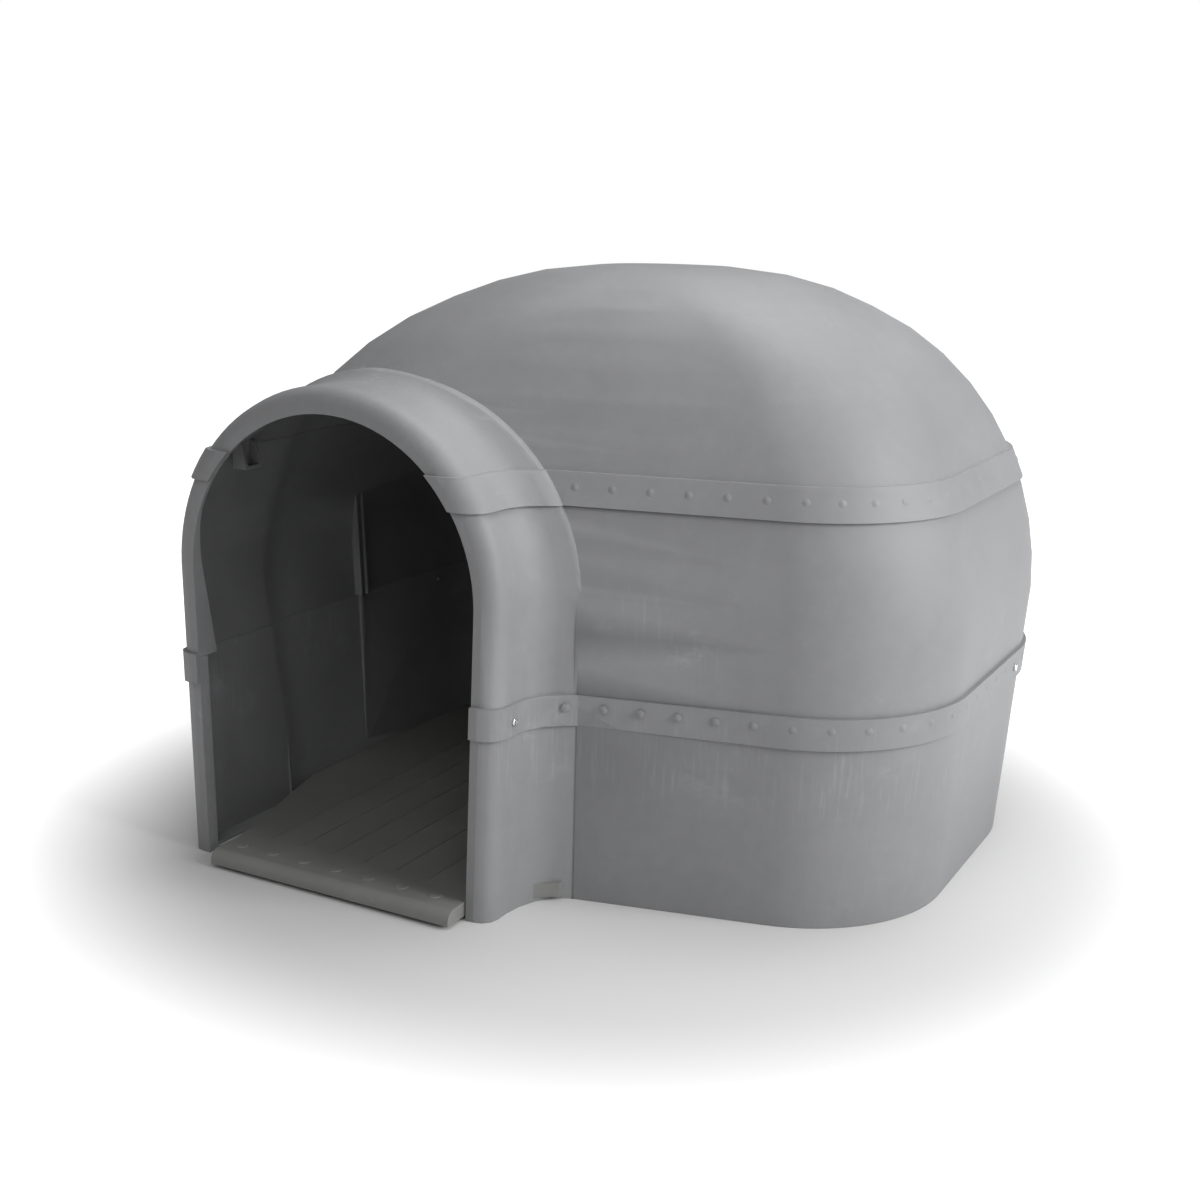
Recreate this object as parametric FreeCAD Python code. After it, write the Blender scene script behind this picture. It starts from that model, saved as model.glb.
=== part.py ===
"""Moulded dog house with an off-centre arched porch.

Three stacked shell sections lap over one another like shingles: a base ring, a middle
ring and a domed roof.  A separate floor panel drops into the base ring.  The door faces
-Y at the -X end, the long room runs towards +X, and Z is up from the ground.
Lengths are millimetres.
"""
import FreeCAD, Part
import math
import os
from FreeCAD import Vector

# ---- overall sizes ---------------------------------------------------------------
house_width = 1050.0        # left wall to right wall at the waist
house_depth = 922.0         # door face to back wall at the waist
house_height = 850.0        # ground to the top of the dome
waist_height = 385.0        # where the shell is widest and the dome begins to lean in
floor_draw_in = 21.0        # how far the walls lean in by the time they meet the ground

# ---- plan of the room ------------------------------------------------------------
porch_reach = 104.0         # door face to the front wall, measured at the porch
front_slant = 114.0         # how much further back the front wall is at its far end
corner_radius = 225.0       # plan corners at the waist
crown_corner_radius = 190.0 # plan corners near the top of the dome

# ---- dome ------------------------------------------------------------------------
apex_right_of_centre = 28.0
apex_ahead_of_centre = 62.0
dome_rise_power = 1.85      # higher keeps the wall upright for longer
dome_width_power = 2.7      # higher makes a flatter, boxier top
dome_depth_power = 3.1

# ---- porch and door --------------------------------------------------------------
porch_left_margin = 14.0    # room's left wall to the porch's left side
door_width = 466.0          # clear door at the spring of its arch
door_height = 660.0
door_draw_in = 11.0         # each jamb leans in this much at the ground
rim_width = 36.0            # face of the moulded rim round the door
rim_round = 24.0            # outer rounding of the rim
side_cove_radius = 72.0     # hollow blend between the porch's open side and the front wall
crown_cove_radius = 60.0    # hollow blend between the porch's arch and the dome
crown_cove_start = 80.0     # door face to where the arch begins to sweep up

# ---- walls and laps --------------------------------------------------------------
wall = 5.0
lap_clearance = 0.5         # between a skirt and the ring it covers
lap_height = 38.0           # how far a skirt comes down over the ring below
ledge_gap = 0.4             # between a ring's top edge and the ledge above it
base_seam_height = 257.0    # lower edge of the middle ring's skirt
roof_seam_height = 553.0    # lower edge of the roof's skirt

# ---- moulded details -------------------------------------------------------------
sill_width = 22.0           # inward flange round the foot of the base ring
jamb_return_foot = 34.0     # return behind the rim at the middle ring's foot
jamb_return_rise = 215.0    # it fades out this far up
base_return = 14.0          # the same return on the base ring
post_width = 7.0            # vertical locking ribs inside the walls
post_depth = 14.0
post_slot = 9.0             # gap between the upper pair, round the single lower rib
post_rise = 240.0
clip_width = 34.0           # moulded roof clips beside the porch
clip_depth = 16.0
clip_drop = 30.0

# ---- floor panel -----------------------------------------------------------------
floor_top = 26.0
floor_plate = 4.0
floor_clearance = 1.5
floor_lip = 40.0            # how far the lip stands out in front of the door
floor_left_taper = 36.0     # the floor narrows this much on the left of the porch
groove_width = 4.0
groove_depth = 1.2
boss_row_margin = 133.0     # door width left over beyond the outer bosses
boss_radius = 11.0
boss_height = 1.2
boss_count = 7
groove_pitch = (door_width - boss_row_margin) / (boss_count - 1)
rib_pitch = 75.0

# ---- lap screws ------------------------------------------------------------------
shank_radius = 2.5
hole_clearance = 0.4
head_radius = 5.5
head_height = 3.2
seat_gap = 0.5
nut_flats = 8.0
nut_height = 4.0
shank_tail = 3.0            # end left showing past the nut

# ---- smoothness ------------------------------------------------------------------
DOME_BANDS = 12             # level bands that carry the dome's curve
DOME_SWEEP = 0.94           # share of the quarter round carried before the flat crown
RIM_BANDS = 3
FLATNESS = 0.001            # faces that stray less than this from a plane are made planes
COVE_BANDS = 5

room_left = -house_width / 2.0
room_right = house_width / 2.0
door_face = -house_depth / 2.0
room_back = house_depth / 2.0
porch_left = room_left + porch_left_margin
porch_right = porch_left + door_width + 2.0 * rim_width
door_centre = (porch_left + porch_right) / 2.0
door_spring = door_height - door_width / 2.0
front_grade = front_slant / (room_right - porch_right)
ledge_height = lap_height + ledge_gap


def round_corner(start, corner, end):
    """Circular arc from start to end, tangent to both sides of the corner."""
    half = (start - corner).getAngle(end - corner) / 2.0
    curve = Part.BezierCurve()
    curve.setPoles([start, corner, end])
    curve.setWeight(2, math.sin(half))
    return curve.toShape()


def rounded_outline(corners, radius, z):
    """Closed outline of a four-sided plan with its corners rounded."""
    turns = []
    count = len(corners)
    for i in range(count):
        before = Vector(*corners[i - 1], z)
        here = Vector(*corners[i], z)
        after = Vector(*corners[(i + 1) % count], z)
        to_before = (before - here).normalize()
        to_after = (after - here).normalize()
        half = to_before.getAngle(to_after) / 2.0
        longest = min((before - here).Length, (after - here).Length) * 0.47
        reach = min(radius / math.tan(half), longest)
        turns.append((here + to_before * reach, here, here + to_after * reach))
    edges = []
    for i, (start, corner, end) in enumerate(turns):
        edges.append(round_corner(start, corner, end))
        edges.append(Part.makeLine(end, turns[(i + 1) % count][0]))
    return Part.Wire(edges)


def with_plain_planes(form):
    """The same solid with each flat face stored as a plane."""
    faces = []
    for face in form.Faces:
        if face.findPlane(FLATNESS) and not isinstance(face.Surface, Part.Plane):
            first, second, third = [vertex.Point for vertex in face.OuterWire.OrderedVertexes[:3]]
            flat = Part.Face(Part.Plane(first, second, third), face.OuterWire)
            if flat.normalAt(0, 0).dot(face.normalAt(0.5, 0.5)) < 0:
                flat.reverse()
            faces.append(flat)
        else:
            faces.append(face)
    solid = Part.Solid(Part.Shell(faces))
    if solid.Volume < 0:
        solid.reverse()
    return solid


def plan_corners(grow, lean_in):
    """Corners of the room's plan, moved out by grow and in by lean_in."""
    move = grow - lean_in
    left = room_left - move
    right = room_right + move
    back = room_back + move
    tilt = math.hypot(1.0, front_grade)

    def front(x):
        return door_face + porch_reach + front_grade * (x - porch_right) - move * tilt
    return [(left, front(left)), (right, front(right)), (right, back), (left, back)]


def room_form(grow):
    """Solid room: walls that lean in to the ground, and a dome above the waist.

    The dome follows a superellipse, with its own powers across, front to back and up.
    """
    outlines = [rounded_outline(plan_corners(grow, floor_draw_in), corner_radius + grow, 0.0)]
    outlines.append(rounded_outline(plan_corners(grow, 0.0), corner_radius + grow, waist_height))
    apex_x = apex_right_of_centre
    apex_y = (door_face + porch_reach + room_back) / 2.0 - apex_ahead_of_centre
    last_turn = math.pi / 2.0 * DOME_SWEEP
    top_climb = math.sin(last_turn) ** (2.0 / dome_rise_power)
    rise = (house_height + grow - waist_height) / top_climb
    for i in range(1, DOME_BANDS + 1):
        turn = last_turn * i / DOME_BANDS
        climb = math.sin(turn) ** (2.0 / dome_rise_power)
        across = math.cos(turn) ** (2.0 / dome_width_power)
        along = math.cos(turn) ** (2.0 / dome_depth_power)
        radius = corner_radius + grow + (crown_corner_radius - corner_radius) * climb
        corners = []
        for x, y in plan_corners(grow, 0.0):
            corners.append((apex_x + (x - apex_x) * across, apex_y + (y - apex_y) * along))
        outlines.append(rounded_outline(corners, radius, waist_height + rise * climb))
    return with_plain_planes(Part.makeLoft(outlines, True, True))


def arch_outline(left, right, crown, foot_in, y):
    """Door-shaped outline: legs that lean in to the ground and an arch over them.

    left, right and crown are its reach from the arch's centre.
    """
    centre = Vector(door_centre, y, door_spring)

    up = Vector(0.0, 0.0, crown)
    left_foot = Vector(door_centre - left + foot_in, y, 0.0)
    right_foot = Vector(door_centre + right - foot_in, y, 0.0)
    left_spring = centre - Vector(left, 0.0, 0.0)
    right_spring = centre + Vector(right, 0.0, 0.0)
    top = centre + up
    return Part.Wire([
        Part.makeLine(left_foot, left_spring),
        round_corner(left_spring, left_spring + up, top),
        round_corner(top, right_spring + up, right_spring),
        Part.makeLine(right_spring, right_foot),
        Part.makeLine(right_foot, left_foot)])


def arch_prism(half_width, y_from, y_to):
    """Straight door-shaped block."""
    outline = arch_outline(half_width, half_width, half_width, door_draw_in, y_from)
    return Part.Face(outline).extrude(Vector(0.0, y_to - y_from, 0.0))


def cove(y, start, radius):
    """How far a hollow quarter round has swept out by the time it reaches y."""
    run = min(max(y - start, 0.0), radius * 0.97)
    return radius - math.sqrt(radius * radius - run * run)


def porch_form(grow):
    """Solid porch: rounded rim, straight hood, then a hollow sweep out into the room."""
    half = door_width / 2.0 + rim_width + grow
    round_radius = rim_round + grow
    front = door_face - grow
    outlines = []
    for i in range(RIM_BANDS + 1):
        turn = math.pi / 2.0 * i / RIM_BANDS
        inset = round_radius * (1.0 - math.sin(turn))
        y = front + round_radius * (1.0 - math.cos(turn))
        reach = half - inset
        outlines.append(arch_outline(reach, reach, reach, door_draw_in, y))
    side_radius = side_cove_radius - grow
    crown_radius = crown_cove_radius - grow
    side_start = door_face + porch_reach - side_cove_radius * 0.8
    crown_start = door_face + crown_cove_start
    last = side_start + side_cove_radius
    for i in range(COVE_BANDS + 1):
        turn = math.pi / 2.0 * i / COVE_BANDS
        y = side_start + (last - side_start) * math.sin(turn)
        outlines.append(arch_outline(half, half + cove(y, side_start, side_radius),
                                     half + cove(y, crown_start, crown_radius), door_draw_in, y))
    inside = last + porch_reach
    outlines.append(arch_outline(half, half + cove(last, side_start, side_radius) * 0.9,
                                 half + cove(last, crown_start, crown_radius), door_draw_in, inside))
    return with_plain_planes(Part.makeLoft(outlines, True, True))


def house_form(grow):
    """Room and porch in one solid.

    grow moves every face out from the shell's outer surface, or in when negative.
    """
    return room_form(grow).fuse(porch_form(grow))


def slab(z_from, z_to):
    """Level slice of space, wider than the house."""
    reach = house_width + house_depth
    return Part.makeBox(2.0 * reach, 2.0 * reach, z_to - z_from, Vector(-reach, -reach, z_from))


def door_opening():
    return arch_prism(door_width / 2.0, door_face - rim_round, door_face + rim_round)


def jamb_return(z_foot, depth_foot, z_end, depth_end):
    """Flange behind the rim that follows the door's edge and changes depth with height."""
    half = door_width / 2.0
    back = door_face + wall + max(depth_foot, depth_end)
    band = arch_prism(half + wall, door_face + 1.0, back)
    band = band.cut(arch_prism(half, door_face, back + 1.0))
    front = door_face + wall - 2.0
    side = Part.makePolygon([
        Vector(room_left, front, z_foot),
        Vector(room_left, door_face + wall + depth_foot, z_foot),
        Vector(room_left, door_face + wall + depth_end, z_end),
        Vector(room_left, front, z_end),
        Vector(room_left, front, z_foot)])
    return band.common(Part.Face(side).extrude(Vector(house_width, 0.0, 0.0)))


def lapped_section(shell, forms, seam, top):
    """One shell section: upright wall above, stepped ledge, skirt over the ring below."""
    outer, inner, skirt_outer, skirt_inner = forms
    ledge = seam + ledge_height
    upright = shell.common(slab(ledge + wall, top))
    step = skirt_outer.common(slab(ledge, ledge + wall)).cut(inner.common(slab(ledge, ledge + wall)))
    skirt = skirt_outer.common(slab(seam, ledge)).cut(skirt_inner.common(slab(seam, ledge)))
    return upright.fuse([step, skirt]).cut(door_opening())


def outline_block(form, z, z_from, z_to):
    """Upright block with the form's outline at level z."""
    wires = form.slice(Vector(0, 0, 1), z)
    outline = max(wires, key=lambda wire: wire.Length)
    outline.translate(Vector(0.0, 0.0, z_from - z))
    return Part.Face(outline).extrude(Vector(0.0, 0.0, z_to - z_from))


def wall_point(form, start, direction):
    """Where a level line from start, heading outwards, leaves the form."""
    line = Part.makeLine(start, start + direction * house_width)
    inside = form.common(line)
    ends = [vertex.Point for vertex in inside.Vertexes]
    return max(ends, key=lambda point: (point - start).Length)


def post(place, inward, depth_foot, depth_top, z_foot, z_top, side_shift):
    """Upright tapered rib that stands inward from a wall, rooted past the wall's face."""
    along = Vector(-inward.y, inward.x, 0.0)
    reach = wall + floor_draw_in
    root = place - inward * reach + along * (side_shift - post_width / 2.0)
    foot = Vector(root.x, root.y, z_foot)
    top = Vector(root.x, root.y, z_top)
    side = Part.makePolygon([foot, foot + inward * (reach + depth_foot),
                             top + inward * (reach + depth_top), top, foot])
    return Part.Face(side).extrude(along * post_width)


def post_places(inner):
    """Wall points and inward directions where the locking ribs stand."""
    level = base_seam_height + ledge_height
    rib_y = door_face + house_depth * 0.475
    starts = [
        (Vector(0.0, rib_y, level), Vector(-1.0, 0.0, 0.0)),
        (Vector(0.0, rib_y, level), Vector(1.0, 0.0, 0.0)),
        (Vector(-house_width * 0.2, 0.0, level), Vector(0.0, 1.0, 0.0)),
        (Vector(house_width * 0.2, 0.0, level), Vector(0.0, 1.0, 0.0))]
    return [(wall_point(inner, start, way), way * -1.0) for start, way in starts]


def screw_places(skirt_outer, inner):
    """Head seat, nut seat and outward direction of each lap screw."""
    z = base_seam_height + lap_height * 0.5
    jamb_y = door_face + rim_round + 16.0
    side_y = door_face + house_depth * 0.72
    back_x = house_width * 0.25
    starts = [
        ("porch_right", Vector(door_centre, jamb_y, z), Vector(1.0, 0.0, 0.0)),
        ("porch_left", Vector(door_centre, jamb_y, z), Vector(-1.0, 0.0, 0.0)),
        ("side_right", Vector(0.0, side_y, z), Vector(1.0, 0.0, 0.0)),
        ("side_left", Vector(0.0, side_y, z), Vector(-1.0, 0.0, 0.0)),
        ("back_right", Vector(back_x, 0.0, z), Vector(0.0, 1.0, 0.0)),
        ("back_left", Vector(-back_x, 0.0, z), Vector(0.0, 1.0, 0.0))]
    places = []
    for name, start, way in starts:
        seat = wall_point(skirt_outer, start, way)
        behind = wall_point(inner, start, way)
        places.append((name, seat, behind, way))
    return places


def screw(seat, behind, way):
    """Pan-head machine screw: bevelled head outside, plain shank through both walls."""
    under = seat + way * seat_gap
    tip = behind - way * (seat_gap + nut_height + shank_tail)
    shank = Part.makeCylinder(shank_radius, (under - tip).Length, tip, way)
    head = Part.makeCone(head_radius, head_radius * 0.75, head_height, under, way)
    return head.fuse(shank)


def nut(behind, way):
    """Hexagon nut on the inside of the lower ring."""
    face = behind - way * seat_gap
    corner = nut_flats / math.sqrt(3.0)
    across = Vector(-way.y, way.x, 0.0)
    points = []
    for i in range(7):
        turn = math.radians(60.0 * i)
        points.append(face + across * (corner * math.cos(turn)) + Vector(0, 0, corner * math.sin(turn)))
    block = Part.Face(Part.makePolygon(points)).extrude(way * -nut_height)
    bore = Part.makeCylinder(shank_radius + hole_clearance, nut_height + 2.0,
                             face - way * (nut_height + 1.0), way)
    return block.cut(bore)


def screw_holes(places):
    holes = []
    for name, seat, behind, way in places:
        start = behind - way * 20.0
        holes.append(Part.makeCylinder(shank_radius + hole_clearance,
                                       (seat - behind).Length + 40.0, start, way))
    return Part.makeCompound(holes)


def roof_clips(inner):
    """Shelf-and-cheek clips moulded inside the roof that hang behind the middle ring.

    Their hanging part stays inside the ring's narrow top, so the roof lifts straight off.
    """
    ledge = roof_seam_height + ledge_height
    low = ledge - clip_drop
    high = ledge + clip_drop * 0.5
    level = ledge
    porch_y = door_face + rim_round + clip_width * 1.5
    starts = [
        (Vector(door_centre, porch_y, level), Vector(-1.0, 0.0, 0.0)),
        (Vector(0.0, 0.0, level), Vector(1.0, 0.0, 0.0)),
        (Vector(-house_width * 0.3, 0.0, level), Vector(0.0, 1.0, 0.0)),
        (Vector(house_width * 0.3, 0.0, level), Vector(0.0, 1.0, 0.0))]
    solids = []
    for start, way in starts:
        hit = wall_point(inner, start, way)
        along = Vector(-way.y, way.x, 0.0)
        corner = hit - way * clip_depth * 1.6 - along * (clip_width / 2.0)
        foot = Vector(corner.x, corner.y, low)
        head = Vector(corner.x, corner.y, high)
        side = Part.makePolygon([foot, foot + way * clip_depth * 4.0, head + way * clip_depth * 4.0,
                                 head + way * clip_depth * 0.6 - Vector(0.0, 0.0, clip_drop * 0.3), foot])
        block = Part.Face(side).extrude(along * clip_width)
        inside = foot + along * wall - way * wall + Vector(0.0, 0.0, wall)
        rise = Vector(0.0, 0.0, clip_drop * 2.0)
        reach = way * (clip_depth * 1.2 + wall)
        pocket = Part.Face(Part.makePolygon([inside, inside + reach, inside + reach + rise,
                                             inside + rise, inside]))
        solids.append(block.cut(pocket.extrude(along * (clip_width - 2.0 * wall))))
    hanging = outline_block(house_form(-wall - lap_clearance), ledge, low - 1.0, ledge + wall * 0.4)
    rooted = house_form(-wall * 0.5).common(slab(ledge + wall * 0.2, high + 1.0))
    return Part.makeCompound(solids).common(hanging.fuse(rooted)).Solids


def base_ring(shell, forms, places):
    """Bottom section: upright wall, inward sill flange, jamb returns and locking ribs."""
    inner = forms[1]
    top = base_seam_height + lap_height
    ring = shell.common(slab(0.0, top)).cut(door_opening())
    edge = wall + sill_width
    passage = arch_prism(door_width / 2.0 + rim_width - edge, door_face,
                         door_face + porch_reach + 2.0 * edge)
    sill = house_form(-wall * 0.5).common(slab(0.0, wall)).cut(room_form(-edge).fuse(passage))
    ribs = []
    for place, inward in post_places(inner):
        ribs.append(post(place, inward, post_depth, post_depth * 0.5, floor_top + 8.0,
                         top - ledge_gap, 0.0))
    rooted = Part.makeCompound(ribs).common(room_form(-wall * 0.5))
    returns = jamb_return(0.0, base_return, top, base_return)
    ring = ring.fuse([sill, returns] + rooted.Solids)
    return ring.cut(screw_holes(places))


def middle_ring(shell, forms, places):
    """Middle section: wall above, skirt over the base ring, forked ribs over its ribs."""
    top = roof_seam_height + lap_height
    ledge = base_seam_height + ledge_height
    ring = lapped_section(shell, forms, base_seam_height, top)
    shift = (post_slot + post_width) / 2.0
    ribs = []
    for place, inward in post_places(forms[1]):
        for side in (-1.0, 1.0):
            ribs.append(post(place, inward, post_depth, 0.0, ledge, ledge + post_rise, side * shift))
    rooted = Part.makeCompound(ribs).common(room_form(-wall * 0.5))
    returns = jamb_return(ledge, jamb_return_foot, ledge + jamb_return_rise, 0.0)
    ring = ring.fuse([returns] + rooted.Solids)
    return ring.cut(screw_holes(places))


def roof_shell(shell, forms):
    """Top section: domed roof with the arch of the porch, its skirt and its clips."""
    roof = lapped_section(shell, forms, roof_seam_height, house_height + 50.0)
    return roof.fuse(roof_clips(forms[1]))


def floor_panel():
    """Flat panel with a rounded lip, a row of bosses, grooves and ribs underneath."""
    margin = wall + floor_clearance
    half = door_width / 2.0 - door_draw_in - floor_clearance
    tongue_left = door_centre - half + floor_left_taper
    tongue_right = door_centre + half
    seat = wall + seat_gap
    inside_y = door_face + wall + base_return + floor_clearance
    body = room_form(-margin).fuse(porch_form(-margin)).common(slab(seat, floor_top))
    taper_end = door_face + house_depth * 0.33
    keep = Part.makePolygon([
        Vector(tongue_left, inside_y, 0.0),
        Vector(room_left + floor_draw_in, taper_end, 0.0),
        Vector(room_left - 50.0, taper_end, 0.0),
        Vector(room_left - 50.0, room_back + 50.0, 0.0),
        Vector(room_right + 50.0, room_back + 50.0, 0.0),
        Vector(room_right + 50.0, inside_y, 0.0),
        Vector(tongue_left, inside_y, 0.0)])
    body = body.common(Part.Face(keep).extrude(Vector(0.0, 0.0, floor_top + 10.0)))
    lip_front = door_face - floor_lip
    tongue = Part.makeBox(tongue_right - tongue_left, inside_y + 40.0 - lip_front,
                          floor_top - seat, Vector(tongue_left, lip_front, seat))
    rounding = []
    for edge in tongue.Edges:
        box = edge.BoundBox
        if abs(box.YMax - lip_front) < 0.01 and abs(box.ZMin - floor_top) < 0.01:
            rounding.append(edge)
    tongue = tongue.makeFillet((floor_top - seat) * 0.8, rounding)
    panel = body.fuse(tongue).removeSplitter()
    panel = panel.cut(floor_cells(panel, seat)).cut(floor_grooves())
    return panel.fuse(floor_bosses())


def floor_cells(panel, seat):
    """Square hollows moulded into the underside, wherever a whole one fits."""
    deep = floor_top - floor_plate - seat
    level = seat + deep / 2.0
    size = rib_pitch - floor_plate
    cells = []
    for i in range(int(house_width / rib_pitch)):
        for j in range(int(house_depth / rib_pitch)):
            x = room_left + rib_pitch * (i + 0.3)
            y = door_face + rib_pitch * (j + 0.2)
            inside = True
            for dx in (-floor_plate, size + floor_plate):
                for dy in (-floor_plate, size + floor_plate):
                    inside = inside and panel.isInside(Vector(x + dx, y + dy, level), 0.1, True)
            if inside:
                cells.append(Part.makeBox(size, size, deep + 1.0, Vector(x, y, seat - 1.0)))
    return Part.makeCompound(cells)


def floor_grooves():
    """Shallow grooves that run back from the door, between the bosses."""
    grooves = []
    start = door_face + floor_lip
    for i in range(boss_count - 1):
        x = door_centre + groove_pitch * (i + 1 - boss_count / 2.0)
        grooves.append(Part.makeBox(groove_width, house_depth * 0.8, groove_depth * 2.0,
                                    Vector(x - groove_width / 2.0, start, floor_top - groove_depth)))
    return Part.makeCompound(grooves)


def floor_bosses():
    """Row of low round grip bosses across the lip."""
    bosses = []
    for i in range(boss_count):
        x = door_centre + floor_left_taper * 0.25 + groove_pitch * (i - (boss_count - 1) / 2.0)
        bosses.append(Part.makeCone(boss_radius, boss_radius * 0.8, boss_height * 2.0,
                                    Vector(x, door_face - 2.0, floor_top - boss_height)))
    return bosses


def centre_shift(shapes):
    """Move that puts the middle of the whole object's footprint on the origin."""
    points = []
    for shape in shapes:
        points.extend(shape.copy().tessellate(1.0)[0])
    middle_x = (min(point.x for point in points) + max(point.x for point in points)) / 2.0
    middle_y = (min(point.y for point in points) + max(point.y for point in points)) / 2.0
    return Vector(-middle_x, -middle_y, 0.0)


def main():
    os.makedirs("parts", exist_ok=True)
    forms = [house_form(grow) for grow in (0.0, -wall, lap_clearance + wall, lap_clearance)]
    shell = forms[0].cut(forms[1])
    places = screw_places(forms[2], forms[1])
    pieces = {}
    pieces["base_ring"] = base_ring(shell, forms, places)
    pieces["middle_ring"] = middle_ring(shell, forms, places)
    pieces["roof_shell"] = roof_shell(shell, forms)
    pieces["floor_panel"] = floor_panel()
    for name, seat, behind, way in places:
        pieces["lap_screw_" + name] = screw(seat, behind, way)
        pieces["lap_nut_" + name] = nut(behind, way)
    shift = centre_shift(pieces.values())
    for name, shape in pieces.items():
        shape.translate(shift)
        shape.exportStep("parts/" + name + ".step")


main()
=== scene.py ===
"""Looks for a moulded dog house with lapped shell sections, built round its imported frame."""
import math

import bmesh
import bpy
import numpy as np
from bpy.props import (BoolProperty, FloatProperty, FloatVectorProperty, IntProperty,
                       PointerProperty)
from mathutils import Matrix, Vector
from mathutils.bvhtree import BVHTree


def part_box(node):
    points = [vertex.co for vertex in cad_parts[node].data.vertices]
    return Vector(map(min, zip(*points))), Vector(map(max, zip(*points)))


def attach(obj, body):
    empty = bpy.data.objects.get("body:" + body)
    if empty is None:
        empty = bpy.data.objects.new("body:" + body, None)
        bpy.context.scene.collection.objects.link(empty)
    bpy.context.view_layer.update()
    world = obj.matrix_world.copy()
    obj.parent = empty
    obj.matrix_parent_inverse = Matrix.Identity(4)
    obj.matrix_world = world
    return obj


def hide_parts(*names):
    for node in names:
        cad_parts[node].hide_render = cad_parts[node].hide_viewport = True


bl_info = {
    "name": "Moulded Dog House",
    "version": (1, 0, 0),
    "blender": (4, 5, 0),
    "location": "View3D > Sidebar > Dog House",
    "description": "Finishes a moulded plastic dog house: shells, bumps, screws, floor and stage",
    "category": "Object",
}

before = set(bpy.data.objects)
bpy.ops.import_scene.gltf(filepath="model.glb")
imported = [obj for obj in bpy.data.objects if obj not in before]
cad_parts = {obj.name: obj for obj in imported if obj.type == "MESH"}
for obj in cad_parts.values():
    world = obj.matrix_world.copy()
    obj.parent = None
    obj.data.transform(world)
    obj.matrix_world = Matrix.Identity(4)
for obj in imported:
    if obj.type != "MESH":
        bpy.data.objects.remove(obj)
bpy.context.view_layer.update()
DOOR_FACE_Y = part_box("base_ring")[0].y
HOUSE = "house"
ROOF = "roof"
SHELLS = (("base_ring", HOUSE), ("middle_ring", HOUSE), ("roof_shell", ROOF))
SCREWS = tuple(sorted(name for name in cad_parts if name.startswith("lap_screw_")))
NUTS = tuple(sorted(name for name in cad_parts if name.startswith("lap_nut_")))
WAIST = 0.385            # where the walls are widest

# the porch's neck, at the waist
NECK_SIDE_X = 0.027
NECK_DRAW_IN = 0.016     # how far the side has leant in at the ground
NECK_START_Y = DOOR_FACE_Y + 0.0464
NECK_END_Y = DOOR_FACE_Y + 0.1184
NECK_LEAN = 0.0195       # how far back the front wall has leant at the ground

# plan of the room, for the rows of bumps
PORCH_RIGHT = 0.5795     # room's left wall to the porch's right side
PORCH_REACH = 0.104      # door face to the front wall, beside the porch
REACH_POINT = 0.027      # the reach is measured this far left of the porch's side
FRONT_SLANT = 0.2289     # how fast the front wall runs back towards the right
CORNER_RADIUS = 0.225
BEHIND_PORCH = 0.25      # the rows start again this far behind the door face

BUMP_SMOOTH = math.radians(40.0)
SMALL_SMOOTH = math.radians(30.0)
WHITE_FROM, WHITE_TO = 0.62, 1.15    # the stage floor turns white between these distances


# ---- settings a user would change ----------------------------------------------------

class DogHouseShellSettings(bpy.types.PropertyGroup):
    """Colours and edges of the moulded shells."""
    plastic: FloatVectorProperty(name="Plastic", description="Colour of the moulded shell",
                                 default=(0.232, 0.234, 0.240), size=3, subtype="COLOR",
                                 min=0.0, max=1.0)
    dust: FloatVectorProperty(name="Dust", description="Colour of dry dust and rubbed plastic",
                              default=(0.47, 0.48, 0.50), size=3, subtype="COLOR",
                              min=0.0, max=1.0)
    smooth_angle: FloatProperty(name="Smooth Angle",
                                description="Edges sharper than this stay crisp",
                                default=math.radians(38.0), subtype="ANGLE")
    edge_round: FloatProperty(name="Edge Rounding", description="Radius on the moulded edges",
                              default=0.0012, min=0.0, max=0.004, unit="LENGTH")


class DogHouseBumpSettings(bpy.types.PropertyGroup):
    """Rows of snap bumps round each lap."""
    pitch: FloatProperty(name="Pitch", description="Distance between neighbouring bumps",
                         default=0.050, min=0.02, max=0.2, unit="LENGTH")
    radius: FloatProperty(name="Radius", description="Radius of one bump at its foot",
                          default=0.0058, min=0.001, max=0.02, unit="LENGTH")
    height: FloatProperty(name="Height", description="How far a bump stands out",
                          default=0.0011, min=0.0002, max=0.01, unit="LENGTH")
    lower_level: FloatProperty(name="Lower Row", description="Height of the row on the middle ring",
                               default=0.284, unit="LENGTH")
    upper_level: FloatProperty(name="Upper Row", description="Height of the row on the roof",
                               default=0.577, unit="LENGTH")


class DogHouseScrewSettings(bpy.types.PropertyGroup):
    """Pan-head screws through the lower lap."""
    steel: FloatVectorProperty(name="Steel", description="Colour of the bright zinc",
                               default=(0.78, 0.78, 0.79), size=3, subtype="COLOR",
                               min=0.0, max=1.0)
    head_radius: FloatProperty(name="Head Radius", description="Radius of the screw head",
                               default=0.0055, unit="LENGTH")
    head_height: FloatProperty(name="Head Height", description="Height of the screw head",
                               default=0.0032, unit="LENGTH")
    shank_radius: FloatProperty(name="Shank Radius", description="Radius of the shank",
                                default=0.0024, unit="LENGTH")
    segments: IntProperty(name="Segments", description="Points round one head",
                          default=64, min=16, max=256)


class DogHouseFloorSettings(bpy.types.PropertyGroup):
    """Drop-in floor panel."""
    plastic: FloatVectorProperty(name="Plastic", description="Colour of the floor panel",
                                 default=(0.205, 0.208, 0.198), size=3, subtype="COLOR",
                                 min=0.0, max=1.0)
    edge_round: FloatProperty(name="Edge Rounding", description="Radius on the panel's edges",
                              default=0.0006, min=0.0, max=0.004, unit="LENGTH")


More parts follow.
